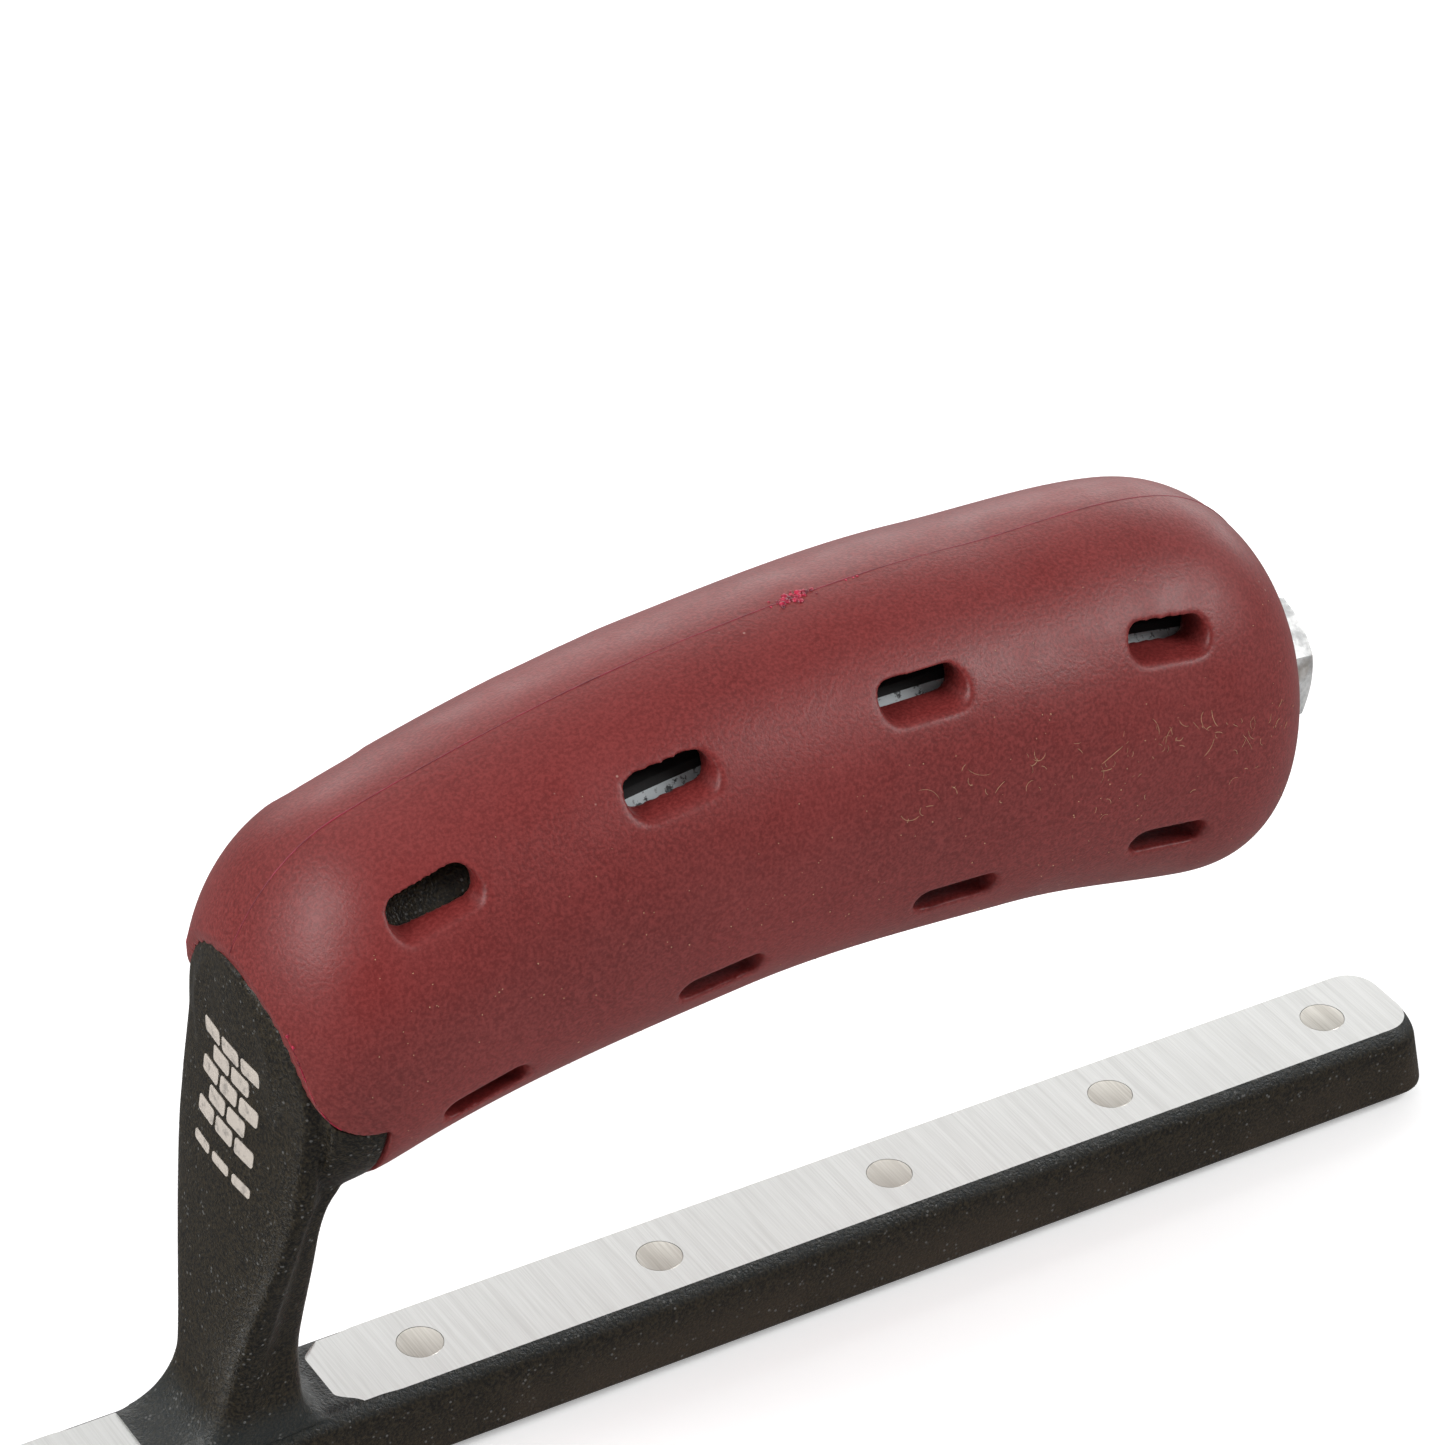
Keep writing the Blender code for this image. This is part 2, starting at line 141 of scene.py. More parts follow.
BOLT_REAR_X = 93.9
BOLT_REAR_Z = 64.7
BOLT_TILT = math.radians(6.0)
BOLT_RADIUS = 4.0
BOLT_LENGTH = 92.0
HEX_ACROSS_FLATS = 13.0
HEX_HEIGHT = 5.3
WASHER_RADIUS = 8.0
WASHER_HOLE = 4.3
WASHER_THICKNESS = 1.6
PLAIN_SHANK = 48.0
THREAD_PITCH = 1.25

# How fine the meshes are
SHANK_SIDES, APRON_SIDES, SLEEVE_SIDES, CORE_SIDES, TANG_SIDES = 240, 120, 144, 96, 48
RIVET_SIDES, BORE_SIDES, THREAD_SIDES, WASHER_SIDES = 72, 72, 48, 96
CASTING_VOXEL, CASTING_ROUNDS = 0.3, 7
SLEEVE_VOXEL, SLEEVE_ROUNDS, SLEEVE_KEPT = 0.24, 40, 0.22
LIP_SOFTNESS = 0.14
SOFTENS_OVER = (1.0, 5.0)

# Cutters and clearances
CUTTER_REACH = 30.0
CUTTER_END_X = 125.0
MILL_HALF_WIDTH = 9.0
MILL_HEIGHT = 3.0
FRONT_MILL_X = -48.7
REAR_MILL_X = -27.25
REAR_MILL_CORNER = (2.9, 3.2, 6.4)
LIP_CLEARANCE = 0.12
BEHIND_HEAD = -4.0
THREAD_HOLE_START, THREAD_HOLE_SPARE = 60.0, 4.0
PASSAGE_END = 80.0
SEAT_RADIUS, SEAT_START = 20.0, -6.0
RIVET_CLEARANCE = 0.03
APRON_XS = (-32.6, -20.0)

# Surface details
PARTING_XS = (-36.0, 89.0)
FLASH_REAR_X, FLASH_TOP = -32.0, 55.5
LINT_REAR_X, LONGEST_FIBRE = 88.0, 3.6
SLOT_MARGINS = (1.5, 2.5)
GATE_X = 30.0
GATE_CRUMBS = 40
LIP_CRUMBS = ((-35.25, 55.6, 0.26), (-35.1, 54.6, 0.2), (-34.95, 53.2, 0.16))
STRAY_CRUMB_XS = (36.2, 37.1, 37.6)
LINT_CLUSTERS = (  # X, v, spread of X, spread of v, number of fibres
    (39.0, 0.25, 3.5, 0.05, 14),
    (49.5, 0.25, 3.0, 0.07, 12),
    (60.5, 0.17, 3.0, 0.07, 14),
    (67.5, 0.22, 3.0, 0.05, 18),
    (75.0, 0.18, 3.0, 0.05, 18),
    (60.0, -0.12, 7.0, 0.09, 8),
    (78.0, -0.05, 3.0, 0.08, 5),
)
DUST_SPECKS = 230
MEAN_HALF_HEIGHT = 21.0
TILE_LENGTH, TILE_HEIGHT, TILE_JOINT, TILE_CORNER = 3.7, 1.9, 0.55, 0.45
TILE_LEVELS = ((-0.2, 0.0), (0.07, 0.0), (0.09, 0.04))  # height over the face, share cut from the edge
MARK_TOP, MARK_ROWS = 47.0, 5
BASE_TILE_YS, BASE_TILE_HEIGHT = (-4.4, 0.0, 4.4), 33.2

# Stage, in metres, watts and degrees
FLOOR_HALF_SIZE = 3.0
FLOOR_GLOW = 0.31
WORLD_STRENGTH = 0.22
LIGHT_TARGET = (0.02, 0, 0.06)
LIGHTS = (  # name, direction from the grip, distance, size, power
    ("key", (0.62, -0.45, 0.66), 0.9, (0.5, 0.34), 4.8),
    ("top", (-0.15, 0.3, 1.0), 1.0, (0.8, 0.6), 0.7),
    ("left", (-0.8, 0.1, 0.62), 0.9, (0.55, 0.55), 6.3),
    ("back", (0.435, 0.711, 0.553), 1.5, (2.0, 1.0), 3.5),
    ("low_back", (0.435, 0.711, 0.2), 1.5, (2.6, 0.7), 12.5),
)
CAMERA_PLACE = (-0.2378, -0.4239, 0.4086)
CAMERA_AZIMUTH, CAMERA_ELEVATION, CAMERA_ROLL = 31.47, 33.54, 1.24
CAMERA_LENS, CAMERA_SENSOR = 142.36, 36


# ---------------------------------------------------------------- section formulas
def smoothstep(low, high, value):
    t = min(max((value - low) / (high - low), 0.0), 1.0)
    return t * t * (3 - 2 * t)


def between(stations, x):
    """A value that eases from each station's value to the next."""
    if x <= stations[0][0]:
        return stations[0][1]
    for (x0, v0), (x1, v1) in zip(stations, stations[1:]):
        if x <= x1:
            return v0 + (v1 - v0) * smoothstep(x0, x1, x)
    return stations[-1][1]


def dome(distance, length, power):
    """How much of the full section is left at this distance into a rounded end."""
    t = min(max(distance / length, 0.0), 0.999)
    return (1 - t**power) ** (1 / power)


def arc_z(x):
    return ARC_CREST_Z - ARC_RADIUS + math.sqrt(ARC_RADIUS**2 - (x - ARC_CREST_X) ** 2)


def arc_angle(x):
    return math.asin((ARC_CREST_X - x) / ARC_RADIUS)


def grip_halves(x):
    """Half width, height above the arc and depth below it."""
    width = between(GRIP_HALF_WIDTH, x)
    above = between(GRIP_HALF_ABOVE, x)
    below = between(GRIP_HALF_BELOW, x)
    front, rear = FRONT_DOME_START - x, x - REAR_DOME_START
    sides, ends = SIDE_DOME_POWER, REAR_DOME_POWER
    width *= dome(front, FRONT_DOME_LENGTH, sides) * dome(rear, REAR_DOME_LENGTH, sides)
    above *= dome(front, FRONT_DOME_LENGTH, FRONT_DOME_POWER) * dome(rear, REAR_DOME_LENGTH, ends)
    below *= dome(rear, REAR_DOME_LENGTH, ends)
    return width, above, below


def superellipse(half_a, half_b, power, count):
    angle = 2 * np.pi * (np.arange(count) + 0.5) / count
    c, s = np.cos(angle), np.sin(angle)
    radius = (np.abs(c) ** power + np.abs(s) ** power) ** (-1 / power)
    return half_a * radius * c, half_b * radius * s


def oval_ring(x, half_width, up, down, power, count):
    """A rounded section across X, centred on the grip's arc."""
    y, v = superellipse(half_width, 1.0, power, count)
    z = arc_z(x) + v * np.where(v > 0, up, down)
    return np.stack([np.full(count, x), y, z], axis=1)


def grip_ring(x):
    return oval_ring(x, *grip_halves(x), GRIP_POWER, SLEEVE_SIDES)


def square_inset(x, depth):
    """Insets in the section's plane that leave this wall square to the grip's skin."""
    step = 0.05
    pairs = zip(grip_halves(x - step), grip_halves(x + step))
    return [depth * math.sqrt(1 + ((after - before) / (2 * step)) ** 2) for before, after in pairs]


def core_ring(x, grow):
    width, above, below = grip_halves(x)
    walls = square_inset(x, HOOD_WALL) if x < 0 else (CORE_END_WALL,) * 3
    half_width = min(CORE_HALF_WIDTH, width - walls[0]) + grow
    up = min(CORE_HALF_HEIGHT, above - walls[1]) + grow
    down = min(CORE_HALF_HEIGHT, below - walls[2]) + grow
    power = GRIP_POWER + (CORE_POWER - GRIP_POWER) * smoothstep(*CORE_SQUARES_UP, x)
    return oval_ring(x, half_width, up, down, power, CORE_SIDES)


def tang_ring(x, grow):
    half_height = TANG_HALF_HEIGHT + grow
    return oval_ring(x, TANG_HALF_WIDTH + grow, half_height, half_height, CORE_POWER, TANG_SIDES)


def rounded_rectangle(half_x, half_y, corner, steps=10):
    points = []
    for quarter, (sx, sy) in enumerate(((1, 1), (-1, 1), (-1, -1), (1, -1))):
        for step in range(steps + 1):
            angle = math.pi / 2 * (quarter + step / steps)
            x = sx * (half_x - corner) + corner * math.cos(angle)
            y = sy * (half_y - corner) + corner * math.sin(angle)
            points.append((x, y))
    return points


def circle(radius, z, sides):
    """A ring of points about the Z axis."""
    angle = 2 * np.pi * np.arange(sides) / sides
    return np.stack([radius * np.cos(angle), radius * np.sin(angle), np.full(sides, z)], axis=1)


# ---------------------------------------------------------------- mesh helpers
def mesh_object(name, points, faces, material=None):
    mesh = bpy.data.meshes.new(name)
    mesh.from_pydata((np.asarray(points, float) * MM).tolist(), [], faces)
    obj = bpy.data.objects.new(name, mesh)
    bpy.context.scene.collection.objects.link(obj)
    outward(obj)
    if material:
        mesh.materials.append(material)
    return obj


def outward(obj):
    bm = bmesh.new()
    bm.from_mesh(obj.data)
    bmesh.ops.recalc_face_normals(bm, faces=bm.faces)
    bm.to_mesh(obj.data)
    bm.free()


def loft(name, rings, material=None):
    """A closed body through rings of equal length, with a flat cap at each end."""
    count, rows = len(rings[0]), len(rings)
    faces = []
    for r in range(rows - 1):
        for i in range(count):
            j = (i + 1) % count
            faces.append((r * count + i, r * count + j, (r + 1) * count + j, (r + 1) * count + i))
    faces.append(tuple(range(count)))
    faces.append(tuple(range((rows - 1) * count, rows * count))[::-1])
    return mesh_object(name, np.concatenate([np.asarray(r) for r in rings]), faces, material)


def prism(name, outline, half_depth, material=None):
    rings = [[(x, y, z) for x, z in outline] for y in (-half_depth, half_depth)]
    return loft(name, rings, material)


def spaced(first, last, count):
    return [first + (last - first) * i / (count - 1) for i in range(count)]


def end_spaced(start, end, count):
    """Values that crowd together towards the end, for a rounded tip."""
    return [start + (end - start) * math.sin(math.pi / 2 * i / count) for i in range(1, count + 1)]


def bake_modifiers(obj):
    """Replace the mesh with the result of its modifiers."""
    graph = bpy.context.evaluated_depsgraph_get()
    mesh = bpy.data.meshes.new_from_object(obj.evaluated_get(graph), depsgraph=graph)
    old = obj.data
    obj.modifiers.clear()
    obj.data = mesh
    bpy.data.meshes.remove(old)


def combine(target, operation, other):
    modifier = target.modifiers.new("combine", "BOOLEAN")
    modifier.operation = operation
    modifier.object = other
    modifier.solver = "EXACT"
    modifier.material_mode = "TRANSFER"
    bake_modifiers(target)
    bpy.data.objects.remove(other, do_unlink=True)


def remesh(obj, voxel, rounds, group=None):
    """Even small faces over the whole mesh, smoothed so that each edge becomes a soft radius."""
    modifier = obj.modifiers.new("voxels", "REMESH")
    modifier.mode = "VOXEL"
    modifier.voxel_size = voxel * MM
    bake_modifiers(obj)
    if group:
        vertex_group = obj.vertex_groups.new(name="soft")
        for vertex in obj.data.vertices:
            vertex_group.add([vertex.index], group(vertex.co / MM), "REPLACE")
    modifier = obj.modifiers.new("soften", "SMOOTH")
    modifier.factor = 0.5
    modifier.iterations = rounds
    if group:
        modifier.vertex_group = "soft"
    bake_modifiers(obj)


def thin_out(obj, ratio):
    """Keep this share of the triangles."""
    modifier = obj.modifiers.new("thin_out", "DECIMATE")
    modifier.ratio = ratio
    bake_modifiers(obj)


def smooth_shading(obj, angle):
    obj.data.shade_smooth()
    obj.data.set_sharp_from_angle(angle=math.radians(angle))


def sharpen_material_edges(obj):
    """Keep machined faces flat-shaded right up to the coated surface round them."""
    bm = bmesh.new()
    bm.from_mesh(obj.data)
    for edge in bm.edges:
        if len({face.material_index for face in edge.link_faces}) > 1:
            edge.smooth = False
    bm.to_mesh(obj.data)
    bm.free()


def finish_piece(obj, slot, *nodes, angle=35):
    smooth_shading(obj, angle)
    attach(obj, "root")
    if nodes:
        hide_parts(*nodes)
    return obj


# ---------------------------------------------------------------- material helpers
class Surface:
    """A Principled material with its node tree and the piece's own coordinates."""

    def __init__(self, name, roughness=0.5, metallic=0.0):
        self.material = bpy.data.materials.new(name)
        self.material.use_nodes = True
        self.tree = self.material.node_tree
        self.shader = self.tree.nodes["Principled BSDF"]
        self.shader.inputs["Roughness"].default_value = roughness
        self.shader.inputs["Metallic"].default_value = metallic
        self.place = self.add("ShaderNodeTexCoord").outputs["Object"]
        self.normal = None

    def add(self, kind, **settings):
        node = self.tree.nodes.new(kind)
        for key, value in settings.items():
            setattr(node, key, value)
        return node

    def link(self, source, target):
        """Set the socket to a number or a colour, or connect it to another socket."""
        if isinstance(source, (int, float)):
            target.default_value = source
        elif isinstance(source, tuple):
            target.default_value = (*source, 1.0)
        else:
            self.tree.links.new(source, target)

    def math(self, operation, a, b):
        node = self.add("ShaderNodeMath", operation=operation)
        for value, socket in zip((a, b), node.inputs):
            self.link(value, socket)
        return node.outputs[0]

    def times(self, a, b):
        return self.math("MULTIPLY", a, b)

    def mapped(self, scale, turn=0.0):
        """The piece's coordinates, stretched and turned about Z."""
        node = self.add("ShaderNodeMapping")
        self.link(self.place, node.inputs["Vector"])
        node.inputs["Scale"].default_value = scale
        node.inputs["Rotation"].default_value = (0, 0, turn)
        return node.outputs[0]

    def noise(self, scale, detail, roughness, vector=None):
        """Noise whose size is 1/scale metres."""
        node = self.add("ShaderNodeTexNoise")
        self.link(vector or self.place, node.inputs["Vector"])
        node.inputs["Scale"].default_value = scale
        node.inputs["Detail"].default_value = detail
        node.inputs["Roughness"].default_value = roughness
        return node.outputs["Fac"]

    def cells(self, scale):
        """Distance to the nearest of many scattered points."""
        node = self.add("ShaderNodeTexVoronoi")
        self.link(self.place, node.inputs["Vector"])
        node.inputs["Scale"].default_value = scale
        return node.outputs["Distance"]

    def ramp(self, source, low, high, to_low=0.0, to_high=1.0):
        """A smooth step from one value to another as the source goes from low to high."""
        node = self.add("ShaderNodeMapRange", interpolation_type="SMOOTHSTEP")
        for value, socket in zip((source, low, high, to_low, to_high), node.inputs):
            self.link(value, socket)
        return node.outputs[0]

    def mix(self, factor, a, b):
        node = self.add("ShaderNodeMix", data_type="RGBA")
        self.link(factor, node.inputs["Factor"])
        self.link(a, node.inputs[6])
        self.link(b, node.inputs[7])
        return node.outputs[2]

    def height(self):
        node = self.add("ShaderNodeSeparateXYZ")
        self.link(self.place, node.inputs[0])
        return node.outputs["Z"]

    def bump(self, height, strength, distance):
        node = self.add("ShaderNodeBump")
        node.inputs["Strength"].default_value = strength
        node.inputs["Distance"].default_value = distance * MM
        self.link(height, node.inputs["Height"])
        if self.normal:
            self.link(self.normal, node.inputs["Normal"])
        self.normal = node.outputs[0]
        self.link(self.normal, self.shader.inputs["Normal"])

    def colour(self, source):
        self.link(source, self.shader.inputs["Base Color"])

    def rough(self, source):
        self.link(source, self.shader.inputs["Roughness"])

    def set(self, **values):
        for key, value in values.items():
            self.shader.inputs[key.replace("_", " ")].default_value = value


def grip_material():
    s = Surface("burgundy_soft_touch", 0.5)
    cloud = s.noise(38, 3, 0.55)
    fine = s.noise(2700, 2, 0.6)
    base = s.mix(s.ramp(cloud, 0.35, 0.68), (0.127, 0.0117, 0.0112), (0.158, 0.015, 0.0143))
    base = s.mix(s.ramp(fine, 0.3, 0.72, 0.0, 0.62), base, (0.272, 0.0395, 0.0368))
    dust = s.ramp(s.cells(420), 0.035, 0.075, 1.0, 0.0)
    sparse = s.ramp(s.noise(60, 2, 0.5), 0.56, 0.66)
    base = s.mix(s.times(s.times(dust, sparse), 0.5), base, (0.5, 0.33, 0.27))
    s.colour(base)
    s.rough(s.ramp(s.noise(150, 5, 0.65), 0.3, 0.7, 0.4, 0.5))
    s.bump(fine, 0.8, 0.05)
    s.bump(s.noise(620, 2, 0.5), 0.2, 0.05)
    s.set(Sheen_Weight=0.05, Sheen_Roughness=0.4, Sheen_Tint=(1.0, 0.75, 0.75, 1))
    s.set(Specular_IOR_Level=0.4)
    return s.material


def parting_material():
    s = Surface("burgundy_parting_line", 0.5)
    wear = s.noise(260, 3, 0.6)
    s.colour(s.mix(s.ramp(wear, 0.35, 0.7), (0.13, 0.012, 0.02), (0.3, 0.02, 0.045)))
    s.bump(s.noise(2600, 2, 0.5), 0.3, 0.03)
    return s.material


def flash_material():
    s = Surface("crimson_flash", 0.4)
    cloud = s.ramp(s.noise(900, 3, 0.6), 0.35, 0.65)
    s.colour(s.mix(cloud, (0.12, 0.003, 0.014), (0.55, 0.012, 0.06)))
    s.bump(s.noise(1800, 2, 0.5), 0.4, 0.05)
    return s.material


def lint_material():
    s = Surface("pale_lint", 0.8)
    s.colour(s.mix(s.noise(300, 1, 0.5), (0.36, 0.17, 0.1), (0.6, 0.38, 0.22)))
    s.bump(s.noise(4000, 1, 0.5), 0.2, 0.02)
    return s.material


def casting_material():
    s = Surface("black_grain_coating", 0.5)
    z = s.height()
    grain = s.noise(2900, 2, 0.6)
    base = s.mix(s.ramp(grain, 0.34, 0.68), (0.0034, 0.0025, 0.0012), (0.03, 0.0215, 0.0095))
    cloud = s.ramp(s.noise(60, 3, 0.6), 0.35, 0.65, 0.35, 1.0)
    # Painted light: a warm brown glow towards the bottom of the rail's sides stands in for light bounced
    # up onto them
    painted_bounce_light = s.times(s.ramp(z, 0.0025, 0.0105, 1.0, 0.0), cloud)
    base = s.mix(s.times(painted_bounce_light, 0.6), base, (0.05, 0.033, 0.02))
    # Painted highlight: a blue-grey band on the rail's rounded top edge beside the milled face
    rounded = s.times(s.ramp(z, 0.0086, 0.0102), s.ramp(z, 0.0125, 0.0165, 1.0, 0.0))
    base = s.mix(s.times(rounded, 0.45), base, (0.026, 0.036, 0.04))
    speck = s.ramp(s.cells(1300), 0.16, 0.26, 1.0, 0.0)
    speck = s.times(speck, s.ramp(s.noise(420, 2, 0.5), 0.5, 0.6))
    base = s.mix(s.times(speck, 0.6), base, (0.15, 0.15, 0.145))
    s.colour(base)
    s.rough(s.ramp(s.noise(700, 3, 0.6), 0.3, 0.7, 0.36, 0.55))
    s.bump(grain, 1.0, 0.14)
    s.bump(s.noise(300, 2, 0.5), 0.15, 0.12)
    s.set(Specular_IOR_Level=0.42)
    return s.material


def milled_material(name, light, dark, roughness, turn):
    """Bright machined metal with fine parallel cutter lines."""
    s = Surface(name, roughness, 1.0)
    fine = s.noise(1.0, 3, 0.7, s.mapped((5200, 90, 300), turn))
    broad = s.noise(1.0, 2, 0.5, s.mapped((900, 25, 100), turn))
    cloud = s.noise(70, 2, 0.5)
    tone = s.math("ADD", s.times(fine, 0.6), s.times(broad, 0.4))
    base = s.mix(s.ramp(tone, 0.3, 0.7), dark, light)
    base = s.mix(s.ramp(cloud, 0.4, 0.7, 0.0, 0.25), base, dark)
    s.colour(base)
    s.rough(s.ramp(tone, 0.35, 0.65, roughness + 0.12, roughness - 0.04))
    s.bump(fine, 0.22, 0.02)
    return s.material


def core_material():
    s = Surface("grey_hard_core", 0.55)
    fleck = s.ramp(s.noise(1100, 4, 0.7), 0.36, 0.46, 1.0, 0.0)
    base = s.mix(s.noise(200, 3, 0.6), (0.46, 0.52, 0.54), (0.66, 0.72, 0.74))
    s.colour(s.mix(fleck, base, (0.04, 0.045, 0.05)))
    s.bump(s.noise(1300, 4, 0.65), 0.5, 0.1)
    return s.material


def core_shadow_material():
    # Painted shadow: near-black colour for the core's top, standing in for the shade that the slots'
    # upper rims cast on it
    s = Surface("painted_shadow_core_top", 0.8)
    s.colour(s.mix(s.noise(700, 3, 0.6), (0.006, 0.006, 0.006), (0.022, 0.022, 0.022)))
    s.bump(s.noise(1300, 4, 0.65), 0.5, 0.1)
    return s.material


def zinc_material(name):
    s = Surface(name, 0.36, 0.6)
    mottled = s.noise(420, 4, 0.65)
    base = s.mix(s.ramp(mottled, 0.35, 0.65), (0.52, 0.53, 0.53), (0.93, 0.94, 0.93))
    stain = s.ramp(s.noise(170, 3, 0.6), 0.56, 0.7, 0.0, 0.6)
    s.colour(s.mix(stain, base, (0.3, 0.22, 0.15)))
    s.rough(s.ramp(mottled, 0.3, 0.7, 0.58, 0.36))
    s.bump(s.noise(1500, 4, 0.7), 0.5, 0.06)
    return s.material


def brushed_material():
    s = Surface("brushed_sole_steel", 0.3, 1.0)
    lines = s.noise(1.0, 3, 0.7, s.mapped((60, 4200, 600)))
    s.colour(s.mix(lines, (0.42, 0.43, 0.44), (0.68, 0.69, 0.7)))
    s.rough(s.ramp(lines, 0.3, 0.7, 0.38, 0.24))
    s.bump(lines, 0.15, 0.02)
    return s.material


def mark_material():
    s = Surface("pale_print", 0.55)
    wear = s.ramp(s.noise(900, 4, 0.7), 0.3, 0.5, 1.0, 0.0)
    s.colour(s.mix(s.times(wear, 0.6), (0.47, 0.42, 0.37), (0.14, 0.13, 0.12)))
    s.bump(s.noise(1600, 3, 0.6), 0.3, 0.05)
    return s.material


# ---------------------------------------------------------------- casting
def rail_form(material):
    half_length = RAIL_LENGTH / 2
    levels = [  # height, inset of the ends, half width
        (RAIL_BOTTOM, 0.6, RAIL_HALF_WIDTH - 0.6),
        (RAIL_BOTTOM + 0.2, 0.2, RAIL_HALF_WIDTH - 0.2),
        (RAIL_BOTTOM + 0.6, 0.0, RAIL_HALF_WIDTH),
        (RAIL_TOP - 1.9, 1.35, RAIL_HALF_WIDTH - 0.3),
        (RAIL_TOP - 1.2, 1.55, RAIL_HALF_WIDTH - 0.55),
        (RAIL_TOP - 0.5, 1.85, RAIL_HALF_WIDTH - 1.05),
        (RAIL_TOP + 0.0, 2.1, RAIL_HALF_WIDTH - 1.55),
        (RAIL_TOP + 0.2, 2.5, RAIL_HALF_WIDTH - 2.3),
    ]
    rail = loft("casting_detail", rail_rings(levels, 0.0, half_length), material)
    blank = [
        (RAIL_TOP - 1.9, 1.35, RAIL_HALF_WIDTH - 0.3),
        (RAIL_TOP - 1.2, 1.55, RAIL_HALF_WIDTH - 0.55),
        (RAIL_TOP - 0.5, 1.85, RAIL_HALF_WIDTH - 1.0),
        (RAIL_TOP + 0.4, 2.35, RAIL_HALF_WIDTH - 1.8),
        (RAIL_TOP + 1.3, 2.85, RAIL_HALF_WIDTH - 2.6),
    ]
    for first, last in ((REAR_BLANK_X, half_length), (-half_length, FRONT_BLANK_X)):
        rings = rail_rings(blank, (first + last) / 2, (last - first) / 2)
        combine(rail, "UNION", loft("blank", rings, material))
    return rail


def rail_rings(levels, middle, half_length):
    rings = []
    for z, inset, half_width in levels:
        outline = rounded_rectangle(half_length - inset, half_width, RAIL_CORNER)
        rings.append([(middle + x, y, z) for x, y in outline])
    return rings


def fillet(height, radius):
    if height >= radius:
        return 0.0
    return radius - math.sqrt(radius**2 - (radius - max(height, 0.0)) ** 2)


def shank_section(height):
    """Middle, half depth, half width, squareness and face crown at this height above the rail."""
    front = min(SHANK_FRONT_X + SHANK_LEAN * height, SHANK_FACE_X) - fillet(height, FRONT_FILLET)
    rear = SHANK_REAR_X + fillet(height, REAR_FILLET)
    rear += fillet(max(WEB_TOP - height, 0.0), WEB_FILLET) * WEB_SHARE
    narrow, wide = SHANK_HALF_WIDTH
    half_width = narrow + (wide - narrow) * smoothstep(*SHANK_FLARE, height)
    rise = max(height - SHANK_ARCH_START, 0.0) / SHANK_ARCH_HEIGHT
    half_width *= max(1 - rise**ARCH_POWER, 0.0) ** (1 / ARCH_POWER)
    if height < 0:
        half_width -= SHANK_ROOT_INSET
    power = SHANK_POWER + SHANK_EXTRA_POWER * smoothstep(*SHANK_SQUARES_UP, height)
    crown = FACE_CROWN * smoothstep(*SHANK_FLARE, height)
    return (front + rear) / 2, (rear - front) / 2, half_width, power, crown


def shank_ring(height):
    """A section with a crowned front face and sides that are fluted behind it."""
    middle, half_depth, half_width, power, crown = shank_section(height)
    x, y = superellipse(half_depth, half_width, power, SHANK_SIDES)
    depth = (x / half_depth + 1) / 2
    flute = FLUTE_DEPTH * smoothstep(*FLUTE_RISE, height)
    flute = flute * np.clip((depth - FLUTE_START) / FLUTE_RUN, 0.0, 1.0) ** FLUTE_POWER
    x += crown * (y / half_width) ** 2 * (1 - x / half_depth) / 2
    y -= np.sign(y) * np.minimum(flute, np.abs(y) * 0.5)
    return np.stack([x + middle, y, np.full(SHANK_SIDES, RAIL_TOP + height)], axis=1)


def shank_face(y, height, proud):
    """A point this far in front of the shank's printed face."""
    middle, half_depth, half_width, power, crown = shank_section(height)
    across = abs(y) / half_width
    bulge = (1 - across**power) ** (1 / power)
    x = middle - half_depth * bulge + crown * across**2 * (1 + bulge) / 2
    return x - proud, y, RAIL_TOP + height


def apron_ring(x):
    """The black wedge that fills the grip's section under and behind the front lip."""
    width, above, below = grip_halves(x)
    width, above, below = width - APRON_INSET, above - APRON_INSET, below + 0.1
    return oval_ring(x, width, above, below, GRIP_POWER, APRON_SIDES)


def rounded_off(points, rounds):
    """The same open outline with its corners cut again and again until it is a smooth curve."""
    for _ in range(rounds):
        inner = []
        for (x0, z0), (x1, z1) in zip(points, points[1:]):
            for near, far in ((0.75, 0.25), (0.25, 0.75)):
                inner.append((near * x0 + far * x1, near * z0 + far * z1))
        points = [points[0]] + inner[1:-1] + [points[-1]]
    return points


def edge_outline(offset, far_x):
    """The front lip as a closed outline that reaches to far_x."""
    edge = [(x + offset, z + RAIL_TOP + offset) for x, z in rounded_off(FRONT_EDGE, 3)]
    return [(far_x, edge[0][1])] + edge + [(far_x, edge[-1][1])]


def foot_boundary(y):
    """Where the rear milled face stops at the shank's foot."""
    depth, inner, outer = REAR_MILL_CORNER
    return REAR_MILL_X + depth * smoothstep(inner, outer, abs(y))


def mill_cutter(name, outline, material):
    rings = [[(x, y, z) for x, y in outline] for z in (RAIL_TOP, RAIL_TOP + MILL_HEIGHT)]
    return loft(name, rings, material)


def shank_form(material):
    """The shank and the apron under the grip, cut back to clear the front lip."""
    heights = [-1.5, -0.6, 0.0] + [0.02 * 1.35**i for i in range(20)]
    heights += spaced(7.0, SHANK_ARCH_START, 40)
    heights = sorted(h for h in heights if h <= SHANK_ARCH_START)
    heights += end_spaced(SHANK_ARCH_START, SHANK_TOP, 24)
    shank = loft("shank_form", [shank_ring(h) for h in heights], material)
    combine(shank, "UNION", loft("apron_form", [apron_ring(x) for x in spaced(*APRON_XS, 22)], material))
    hood = prism("hood_form", edge_outline(-LIP_CLEARANCE, 20.0), CUTTER_REACH, material)
    combine(shank, "DIFFERENCE", hood)
    return shank


